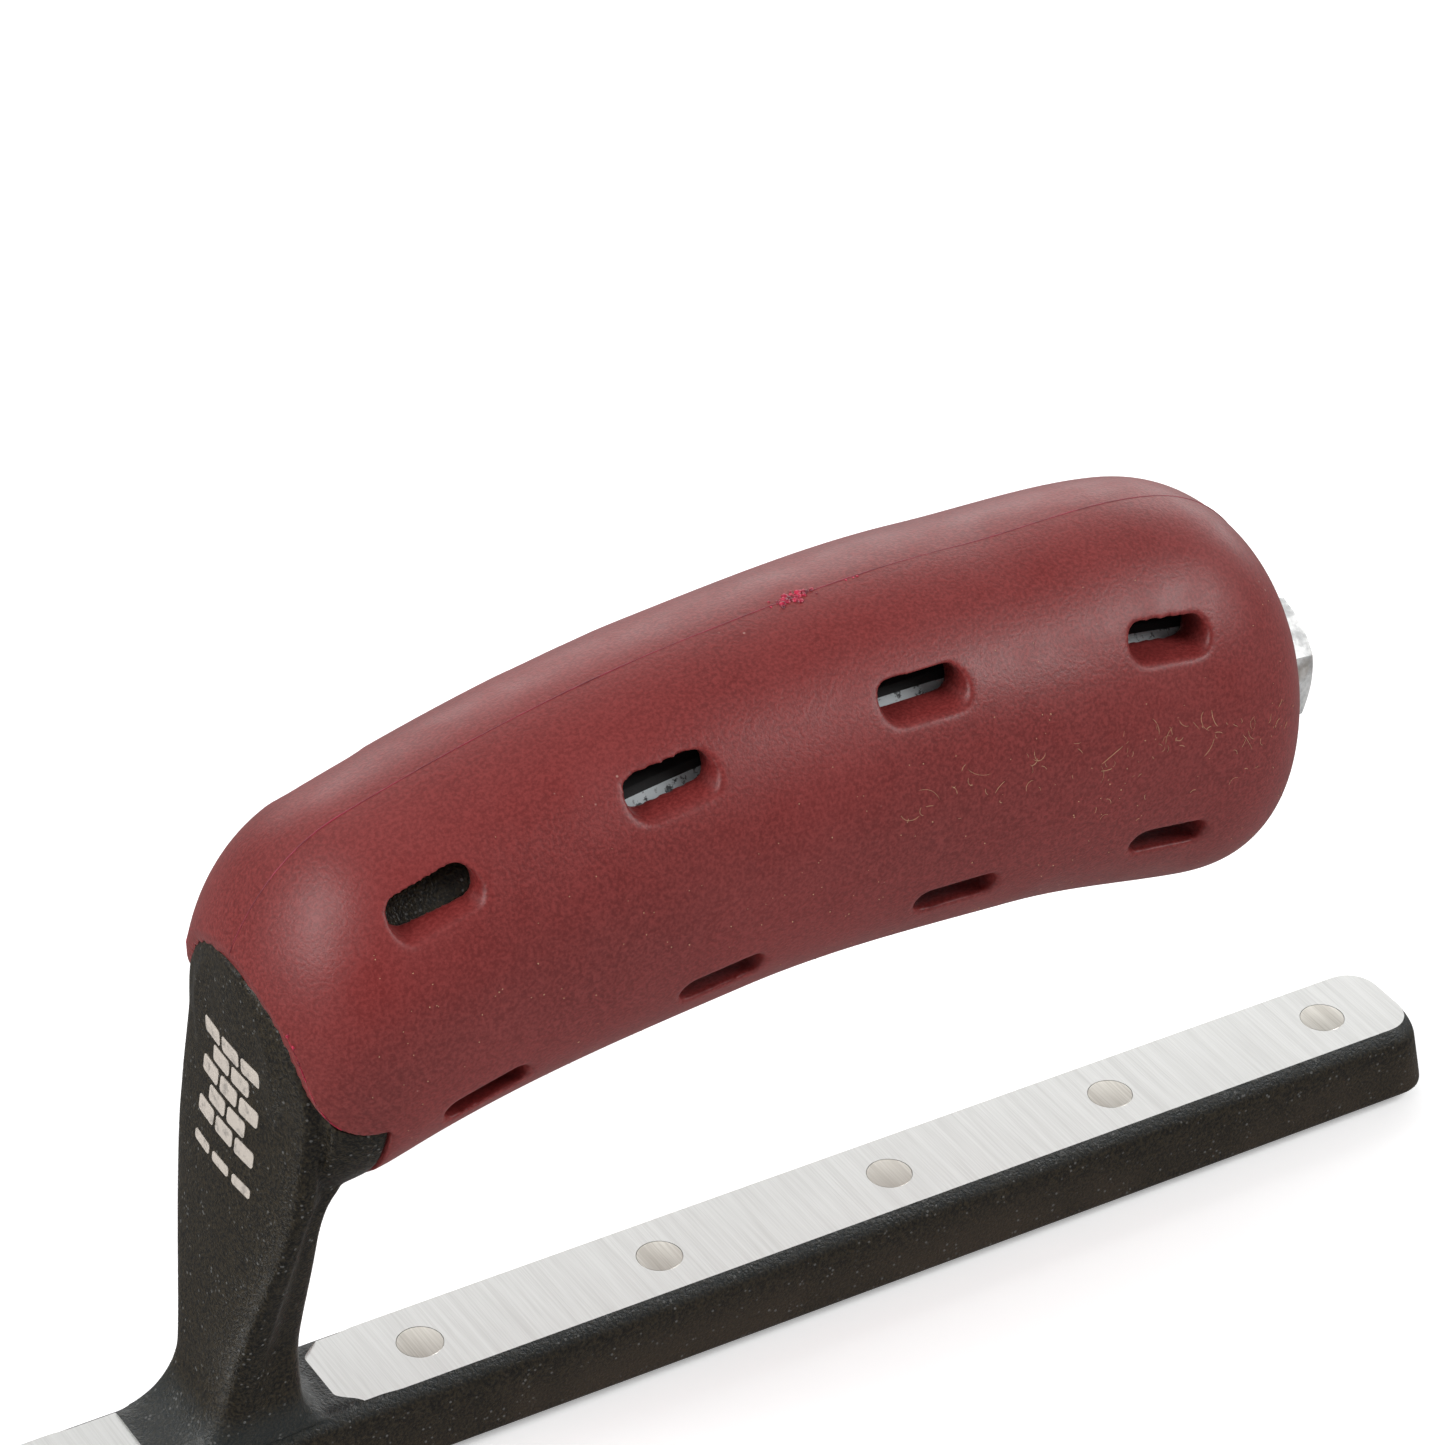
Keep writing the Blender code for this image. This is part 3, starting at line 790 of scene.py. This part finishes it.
def cut_milled_faces(casting, material):
    low, high = -MILL_HALF_WIDTH, MILL_HALF_WIDTH
    rear = [(foot_boundary(y), y) for y in spaced(low, high, 49)]
    rear += [(CUTTER_END_X, high), (CUTTER_END_X, low)]
    front = [(FRONT_MILL_X, high), (FRONT_MILL_X, low), (-CUTTER_END_X, low), (-CUTTER_END_X, high)]
    for name, outline in (("mill_rear", rear), ("mill_front", front)):
        combine(casting, "DIFFERENCE", mill_cutter(name, outline, material))


def make_casting(black, bright):
    casting = rail_form(black)
    combine(casting, "UNION", shank_form(black))
    rings = [core_ring(x, 0.0) for x in spaced(SHANK_FACE_X + 0.2, CORE_FRONT_X - GAP, 30)]
    combine(casting, "UNION", loft("head_form", rings, black))
    tang = [tang_ring(x, 0.0) for x in spaced(TANG_START_X, TANG_END_X, 20)]
    combine(casting, "UNION", loft("tang_form", tang, black))
    remesh(casting, CASTING_VOXEL, CASTING_ROUNDS)
    casting.data.materials.clear()
    casting.data.materials.append(black)
    cut_milled_faces(casting, bright)
    for x in RIVET_XS:
        combine(casting, "DIFFERENCE", rivet_form("rivet_hole", x, RIVET_CLEARANCE, bright, 1.0))
    hole = bolt_cylinder(
        "thread_hole", BOLT_RADIUS + GAP, THREAD_HOLE_START, BOLT_LENGTH + THREAD_HOLE_SPARE
    )
    combine(casting, "DIFFERENCE", hole)
    finish_piece(casting, "casting", "mounting_casting", angle=40)
    sharpen_material_edges(casting)


# ---------------------------------------------------------------- rivets
def rivet_form(name, x, grow, material, above=0.0):
    """A rivet with its countersunk head below, or the plain cutter for its hole if it stands above."""
    radius, head = RIVET_RADIUS + grow, RIVET_HEAD_RADIUS + grow
    top = RAIL_TOP + above
    levels = [(0.02, head - 0.06), (0.08, head), (0.12, head), (0.7, radius)]
    if above:
        levels += [(top, radius)]
    else:
        levels += [(top - 0.06, radius), (top - 0.01, radius - 0.05), (top, radius - 0.14)]
    rings = [circle(r, z, RIVET_SIDES) + np.array((x, 0, 0)) for z, r in levels]
    return loft(name, rings, material)


def make_rivets(material):
    for number, x in enumerate(RIVET_XS, 1):
        rivet = rivet_form(f"rivet_{number}_detail", x, 0.0, material)
        finish_piece(rivet, "rivet", f"rivet_{number}")


# ---------------------------------------------------------------- grip
def slot_outline(x, slot, steps=12):
    offset, length, height = slot
    angle = arc_angle(x)
    c, s = math.cos(angle), math.sin(angle)
    z = arc_z(x) + offset
    outline = rounded_rectangle(length / 2, height / 2, height / 2 * 0.98, steps)
    return [(x + u * c - v * s, z + u * s + v * c) for u, v in outline]


def lip_x(z):
    """X of the front lip at this Z."""
    xs, heights = zip(*reversed(FRONT_EDGE))
    return np.interp(z - RAIL_TOP, heights, xs)


def sleeve_softness(point):
    """How much smoothing a point takes: all of it at the slots' rims, less at the front lip."""
    return LIP_SOFTNESS + (1 - LIP_SOFTNESS) * smoothstep(*SOFTENS_OVER, point.x - lip_x(point.z))


def make_sleeve(material):
    stations = list(reversed(end_spaced(FRONT_DOME_START, SLEEVE_FRONT_X, 28)))
    stations += spaced(FRONT_DOME_START, REAR_DOME_START, 90)
    stations += end_spaced(REAR_DOME_START, REAR_DOME_START + REAR_DOME_LENGTH - 0.3, 36)
    sleeve = loft("grip_sleeve_detail", [grip_ring(x) for x in stations])
    rings = [core_ring(x, GAP) for x in spaced(SLEEVE_FRONT_X + 0.4, CORE_REAR_X + GAP, 60)]
    combine(sleeve, "DIFFERENCE", loft("bore_form", rings))
    combine(sleeve, "DIFFERENCE", prism("front_mouth", edge_outline(0.0, -60.0), CUTTER_REACH))
    for places, slot in SLOT_ROWS:
        for x in places:
            combine(sleeve, "DIFFERENCE", prism("slot_form", slot_outline(x, slot), CUTTER_REACH))
    depth = HEX_HEIGHT + WASHER_THICKNESS + 2.0
    combine(sleeve, "DIFFERENCE", bolt_cylinder("head_recess", WASHER_RADIUS + GAP, BEHIND_HEAD, depth))
    remesh(sleeve, SLEEVE_VOXEL, SLEEVE_ROUNDS, sleeve_softness)
    thin_out(sleeve, SLEEVE_KEPT)
    sleeve.data.materials.clear()
    sleeve.data.materials.append(material)
    return finish_piece(sleeve, "grip", "grip_sleeve", angle=60)


def make_core(material, dark):
    rings = [core_ring(x, -CORE_SHRINK) for x in spaced(CORE_FRONT_X, CORE_REAR_X, 70)]
    for ring in rings:
        crest = arc_z(ring[0][0]) + CORE_CREST
        over = np.maximum(ring[:, 2] - crest, 0.0)
        ring[:, 2] -= CREST_FLATNESS * over
    core = loft("grip_core_detail", rings, material)
    core.data.materials.append(dark)
    socket = [tang_ring(x, GAP) for x in spaced(TANG_START_X, TANG_END_X + GAP, 20)]
    combine(core, "DIFFERENCE", loft("socket", socket, material))
    passage = bolt_cylinder("passage", BOLT_RADIUS + GAP, BEHIND_HEAD, PASSAGE_END, material)
    combine(core, "DIFFERENCE", passage)
    seat = HEX_HEIGHT + WASHER_THICKNESS + 2 * GAP
    combine(core, "DIFFERENCE", bolt_cylinder("seat", SEAT_RADIUS, SEAT_START, seat, material))
    for face in core.data.polygons:  # the top gets the black painted shadow, only the flanks stay grey
        if face.center.z / MM > arc_z(face.center.x / MM) + CORE_LIT_HEIGHT:
            face.material_index = 1
    return finish_piece(core, "core", "grip_core")


# ---------------------------------------------------------------- bolt and washer
def lay_on_bolt(obj, distance):
    """Turn local Z to the bolt's rearward axis, this far forward of the head's rear face."""
    x = (BOLT_REAR_X - distance * math.cos(BOLT_TILT)) * MM
    z = (BOLT_REAR_Z + distance * math.sin(BOLT_TILT)) * MM
    turn = Matrix.Rotation(math.pi / 2 + BOLT_TILT, 4, "Y")
    obj.data.transform(Matrix.Translation((x, 0, z)) @ turn)
    obj.data.update()
    return obj


def bolt_cylinder(name, radius, near, far, material=None):
    rings = [circle(radius, z, BORE_SIDES) for z in (0.0, far - near)]
    return lay_on_bolt(loft(name, rings, material), far)


def hexagon_head(material):
    """A hexagon with its rear corners chamfered at 30 degrees."""
    corner = HEX_ACROSS_FLATS / math.cos(math.pi / 6) / 2
    levels = ((0.0, 0.2), (0.25, 0.0), (HEX_HEIGHT, 0.0))
    head = loft("grip_bolt_detail", [circle(corner - inset, z, 6) for z, inset in levels], material)
    flat = HEX_ACROSS_FLATS / 2 * 0.95
    wide = corner + 0.2
    drop = (corner - flat) * math.tan(math.radians(30))
    profile = ((-1.0, wide), (HEX_HEIGHT - drop, wide), (HEX_HEIGHT + 0.4, flat - 0.7))
    drum = loft("drum", [circle(r, z, 96) for z, r in profile], material)
    combine(head, "INTERSECT", drum)
    return head


def threaded_shank(material):
    """Ridges stand for the thread; the part nearest the head is plain."""
    end = HEX_HEIGHT - BOLT_LENGTH
    profile = [(BOLT_RADIUS - 0.5, end)]
    z = end + 0.8
    while z < -PLAIN_SHANK:
        profile += [(BOLT_RADIUS - 0.05, z), (BOLT_RADIUS - 0.6, z + THREAD_PITCH / 2)]
        z += THREAD_PITCH
    profile += [(BOLT_RADIUS - 0.02, 1.2 - PLAIN_SHANK), (BOLT_RADIUS - 0.02, 1.0)]
    return loft("shank", [circle(r, z, THREAD_SIDES) for r, z in profile], material)


def make_bolt(material):
    bolt = hexagon_head(material)
    combine(bolt, "UNION", threaded_shank(material))
    lay_on_bolt(bolt, HEX_HEIGHT)
    return finish_piece(bolt, "bolt", "grip_bolt", angle=25)


def make_washer(material):
    half, edge = WASHER_THICKNESS / 2, 0.2
    corners = (
        (-half, WASHER_HOLE + edge),
        (-half, WASHER_RADIUS - edge),
        (edge - half, WASHER_RADIUS),
        (half - edge, WASHER_RADIUS),
        (half, WASHER_RADIUS - edge),
        (half, WASHER_HOLE + edge),
        (half - edge, WASHER_HOLE),
        (edge - half, WASHER_HOLE),
    )
    sides, rows = WASHER_SIDES, len(corners)
    points = np.concatenate([circle(r, z, sides) for z, r in corners])
    faces = []
    for row in range(rows):
        below, above = row * sides, (row + 1) % rows * sides
        for i in range(sides):
            j = (i + 1) % sides
            faces.append((below + i, below + j, above + j, above + i))
    washer = mesh_object("grip_washer_detail", points, faces, material)
    lay_on_bolt(washer, HEX_HEIGHT + GAP + WASHER_THICKNESS / 2)
    return finish_piece(washer, "washer", "grip_washer")


# ---------------------------------------------------------------- surface details
def skin(x, v, side=-1):
    """The grip's outer surface at X, where v runs from -1 at the bottom to 1 at the top."""
    width, above, below = grip_halves(x)
    y = width * (1 - min(abs(v), 1.0) ** GRIP_POWER) ** (1 / GRIP_POWER)
    return np.array((x, side * y, arc_z(x) + v * (above if v > 0 else below)))


def skin_normal(x, v, side=-1):
    along = skin(x + 0.1, v, side) - skin(x - 0.1, v, side)
    around = skin(x, min(v + 0.01, 1.0), side) - skin(x, v - 0.01, side)
    normal = np.cross(along, around)
    if normal.dot(skin(x, v, side) - np.array((x, 0, arc_z(x)))) < 0:
        normal = -normal
    return normal / np.linalg.norm(normal)


def in_a_slot(point):
    margin_along, margin_across = SLOT_MARGINS
    for places, (offset, length, height) in SLOT_ROWS:
        for x in places:
            along, across = abs(point[0] - x), abs(point[2] - arc_z(x) - offset)
            if along < length / 2 + margin_along and across < height / 2 + margin_across:
                return True
    return False


def thread_rings(path, radii, sides):
    """Round sections of these radii, square to the path."""
    path = np.array(path)
    tangents = np.gradient(path, axis=0)
    rings = []
    for point, tangent, radius in zip(path, tangents, radii):
        tangent = tangent / np.linalg.norm(tangent)
        first = np.cross(tangent, (0.0, 0.0, 1.0) if abs(tangent[2]) < 0.9 else (0.0, 1.0, 0.0))
        first /= np.linalg.norm(first)
        second = np.cross(tangent, first)
        turn = 2 * np.pi * np.arange(sides) / sides
        rings.append(point + radius * (np.outer(np.cos(turn), first) + np.outer(np.sin(turn), second)))
    return rings


def blob_rings(rng, centre, normal, radius, height):
    """A small ragged crumb sitting on a surface."""
    first = np.cross(normal, (0.0, 1.0, 0.2))
    first /= np.linalg.norm(first)
    second = np.cross(normal, first)
    sides = 9
    turn = 2 * np.pi * np.arange(sides) / sides
    ragged = np.array([rng.uniform(0.6, 1.25) for _ in range(sides)])
    rings = []
    for lift, spread in ((-0.4, 0.8), (0.1, 1.0), (0.65, 0.75), (1.0, 0.2)):
        reach = (radius * spread * ragged)[:, None]
        flat = np.cos(turn)[:, None] * first + np.sin(turn)[:, None] * second
        rings.append(centre + normal * height * lift + reach * flat)
    return rings


def merged(name, parts, slot, material, angle=50):
    """One piece from many small lofted bodies."""
    points, faces = [], []
    for rings in parts:
        base, sides = len(points), len(rings[0])
        points += [tuple(p) for ring in rings for p in ring]
        for row in range(len(rings) - 1):
            for i in range(sides):
                a, b = base + row * sides + i, base + row * sides + (i + 1) % sides
                faces.append((a, b, b + sides, a + sides))
        faces.append(tuple(range(base, base + sides))[::-1])
        faces.append(tuple(range(base + (len(rings) - 1) * sides, base + len(rings) * sides)))
    return finish_piece(mesh_object(name, points, faces, material), slot, angle=angle)


def make_parting_line(rng, material):
    """The mould's parting line over the top of the grip."""
    path, radii = [], []
    for x in spaced(*PARTING_XS, 420):
        path.append(skin(x, 1.0) + np.array((0, rng.uniform(-0.02, 0.02), -0.05)))
        swell = 0.5 + 0.5 * math.sin(x * 0.31) * math.sin(x * 0.083 + 1.0)
        radii.append(0.075 + 0.04 * swell + rng.uniform(-0.006, 0.006))
    return merged("grip_parting_line", [thread_rings(path, radii, 8)], "grip", material)


def skin_v(x, height):
    """The v of the grip's skin at this height above the rail."""
    _, above, below = grip_halves(x)
    rise = height + RAIL_TOP - arc_z(x)
    return rise / (above if rise > 0 else below)


def make_flash(rng, material):
    """Thin ragged flash along the front lip, and crumbs at the moulding gate."""
    parts = []
    for side in (-1, 1):
        path, radii = [], []
        for x, height in rounded_off(FRONT_EDGE, 5):
            v = skin_v(x, height)
            if x < FLASH_REAR_X and height < FLASH_TOP and -0.9 < v < 0.97:
                path.append(skin(x + 0.12, v, side) - skin_normal(x + 0.12, v, side) * 0.02)
                swell = math.sin(height * 1.9) * math.sin(height * 0.7)
                radii.append(max(0.035 + 0.045 * swell, 0.012))
        radii = [radius + rng.uniform(-0.008, 0.02) for radius in radii]
        parts.append(thread_rings(path, radii, 7))
    for x, height, size in LIP_CRUMBS:
        x += 0.15
        v = skin_v(x, height)
        parts.append(blob_rings(rng, skin(x, v), skin_normal(x, v), size, size * 0.6))
    for _ in range(GATE_CRUMBS):
        x, across = rng.gauss(GATE_X, 1.7), rng.gauss(0.0, 0.5)
        v = (1 - (abs(across) / grip_halves(x)[0]) ** GRIP_POWER) ** (1 / GRIP_POWER)
        radius = rng.uniform(0.12, 0.42)
        side = -1 if across < 0 else 1
        place, normal = skin(x, v, side), skin_normal(x, v, side)
        parts.append(blob_rings(rng, place, normal, radius, radius * 0.6))
    for x in STRAY_CRUMB_XS:
        parts.append(blob_rings(rng, skin(x, 0.99995), skin_normal(x, 0.99995), 0.16, 0.07))
    return merged("grip_moulding_flash", parts, "grip", material)


def fibre(rng, x, v, length, radius):
    """One curved fibre that lies on the grip, or None where it would cross a slot."""
    heading, bend = rng.uniform(0, 2 * math.pi), rng.uniform(-0.9, 0.9)
    path, steps = [], 7
    for _ in range(steps):
        point = skin(x, v)
        if in_a_slot(point):
            return None
        path.append(point + skin_normal(x, v) * radius * 0.5)
        x += length / steps * math.cos(heading)
        v += length / steps * math.sin(heading) / MEAN_HALF_HEIGHT
        heading += bend / steps * 3
    return thread_rings(path, [radius * 0.4] + [radius] * (steps - 2) + [radius * 0.4], 5)


def make_lint(rng, material):
    """Pale fibres and dust caught on the soft grip."""
    parts = []
    for x, v, spread, rise, count in LINT_CLUSTERS:
        for _ in range(count):
            place = (min(rng.gauss(x, spread), LINT_REAR_X), min(max(rng.gauss(v, rise), -0.85), 0.7))
            length = min(rng.lognormvariate(0.1, 0.6), LONGEST_FIBRE)
            parts.append(fibre(rng, *place, length, rng.uniform(0.014, 0.032)))
    for _ in range(DUST_SPECKS):
        x, v = rng.uniform(-30.0, 86.0), rng.uniform(-0.8, 0.9)
        radius = rng.uniform(0.04, 0.085)
        point = skin(x, v)
        if x > lip_x(point[2]) + 1.0 and not in_a_slot(point):
            parts.append(blob_rings(rng, point, skin_normal(x, v), radius, radius * 0.7))
    return merged("grip_lint", [part for part in parts if part], "grip", material)


def face_tile(y, height, half_width, half_height, corner):
    """A thin printed tile that follows the shank's front face."""
    outline = rounded_rectangle(half_width, half_height, corner, 5)
    rings = []
    for proud, shrink in TILE_LEVELS:
        reach = 1 - shrink
        rings.append([shank_face(y + u * reach, height + w * reach, proud) for u, w in outline])
    return rings


def make_mark(material):
    """Staggered tiles with a line of small tiles below them, where the maker's print would be."""
    parts = []
    for row in range(MARK_ROWS):
        height = MARK_TOP - row * (TILE_HEIGHT + TILE_JOINT)
        offset = (TILE_LENGTH + TILE_JOINT) / 2 * (row % 2)
        for column in range(3 - row % 2):
            y = (TILE_LENGTH + TILE_JOINT) * (column - 1) + offset
            parts.append(face_tile(y, height, TILE_LENGTH / 2, TILE_HEIGHT / 2, TILE_CORNER))
    for y in BASE_TILE_YS:
        parts.append(face_tile(y, BASE_TILE_HEIGHT, 1.8, 0.6, 0.4))
    return merged("shank_generic_mark", parts, "casting", material, angle=30)


# ---------------------------------------------------------------- stage, light, camera
def make_floor():
    low, high = -FLOOR_HALF_SIZE / MM, FLOOR_HALF_SIZE / MM
    corners = [(low, low, 0), (high, low, 0), (high, high, 0), (low, high, 0)]
    s = Surface("pale_floor", 0.9)
    s.set(Emission_Color=(1, 1, 1, 1), Emission_Strength=FLOOR_GLOW)
    s.colour(s.mix(s.noise(3, 1, 0.5), (0.93, 0.93, 0.93), (0.95, 0.95, 0.95)))
    floor = mesh_object("floor", corners, [(0, 1, 2, 3)], s.material)
    floor.visible_glossy = False


def put_in_scene(obj, side, up, back, location):
    """Put an object here with these three directions as its own axes."""
    matrix = Matrix((side, up, back)).transposed().to_4x4()
    matrix.translation = location
    obj.matrix_world = matrix
    bpy.context.scene.collection.objects.link(obj)


def add_area_light(name, toward, distance, size, power):
    """A soft box in this direction from the grip, facing it, with its long side level."""
    back = Vector(toward).normalized()
    along = Vector((1, 0, 0))
    side = (along - back * back.dot(along)).normalized()
    data = bpy.data.lights.new(name, "AREA")
    data.shape = "RECTANGLE"
    data.size, data.size_y = size
    data.energy = power
    location = Vector(LIGHT_TARGET) + back * distance
    put_in_scene(bpy.data.objects.new(name, data), side, back.cross(side), back, location)


def make_lights():
    world = bpy.data.worlds.new("studio")
    bpy.context.scene.world = world
    world.use_nodes = True
    background = world.node_tree.nodes["Background"]
    background.inputs["Color"].default_value = (1, 1, 1, 1)
    background.inputs["Strength"].default_value = WORLD_STRENGTH
    for light in LIGHTS:
        add_area_light(*light)


def make_camera():
    azimuth, elevation, roll = map(math.radians, (CAMERA_AZIMUTH, CAMERA_ELEVATION, CAMERA_ROLL))
    ca, sa, ce, se = math.cos(azimuth), math.sin(azimuth), math.cos(elevation), math.sin(elevation)
    level = Vector((ca, -sa, 0))
    rise = Vector((sa * se, ca * se, ce))
    back = Vector((-sa * ce, -ca * ce, se))
    right = math.cos(roll) * level + math.sin(roll) * rise
    up = -math.sin(roll) * level + math.cos(roll) * rise
    data = bpy.data.cameras.new("camera")
    data.sensor_width = CAMERA_SENSOR
    data.lens = CAMERA_LENS
    data.clip_start, data.clip_end = 0.01, 20
    camera = bpy.data.objects.new("camera", data)
    put_in_scene(camera, right, up, back, CAMERA_PLACE)
    bpy.context.scene.camera = camera


def main():
    bpy.context.scene.view_settings.view_transform = "Standard"
    make_camera()
    make_lights()
    make_floor()
    black = casting_material()
    bright = milled_material("milled_aluminium", (0.765, 0.765, 0.75), (0.64, 0.64, 0.625), 0.36, 0.35)
    alloy = milled_material("rivet_alloy", (0.64, 0.615, 0.565), (0.49, 0.465, 0.42), 0.42, 0.2)
    zinc = zinc_material("rough_zinc")
    make_casting(black, bright)
    make_rivets(alloy)
    make_core(core_material(), core_shadow_material())
    make_sleeve(grip_material())
    make_bolt(zinc)
    make_washer(zinc)
    rng = random.Random(11)
    make_parting_line(rng, parting_material())
    make_flash(rng, flash_material())
    make_lint(rng, lint_material())
    make_mark(mark_material())
    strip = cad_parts["sole_strip"].data
    strip.materials.clear()
    strip.materials.append(brushed_material())


main()
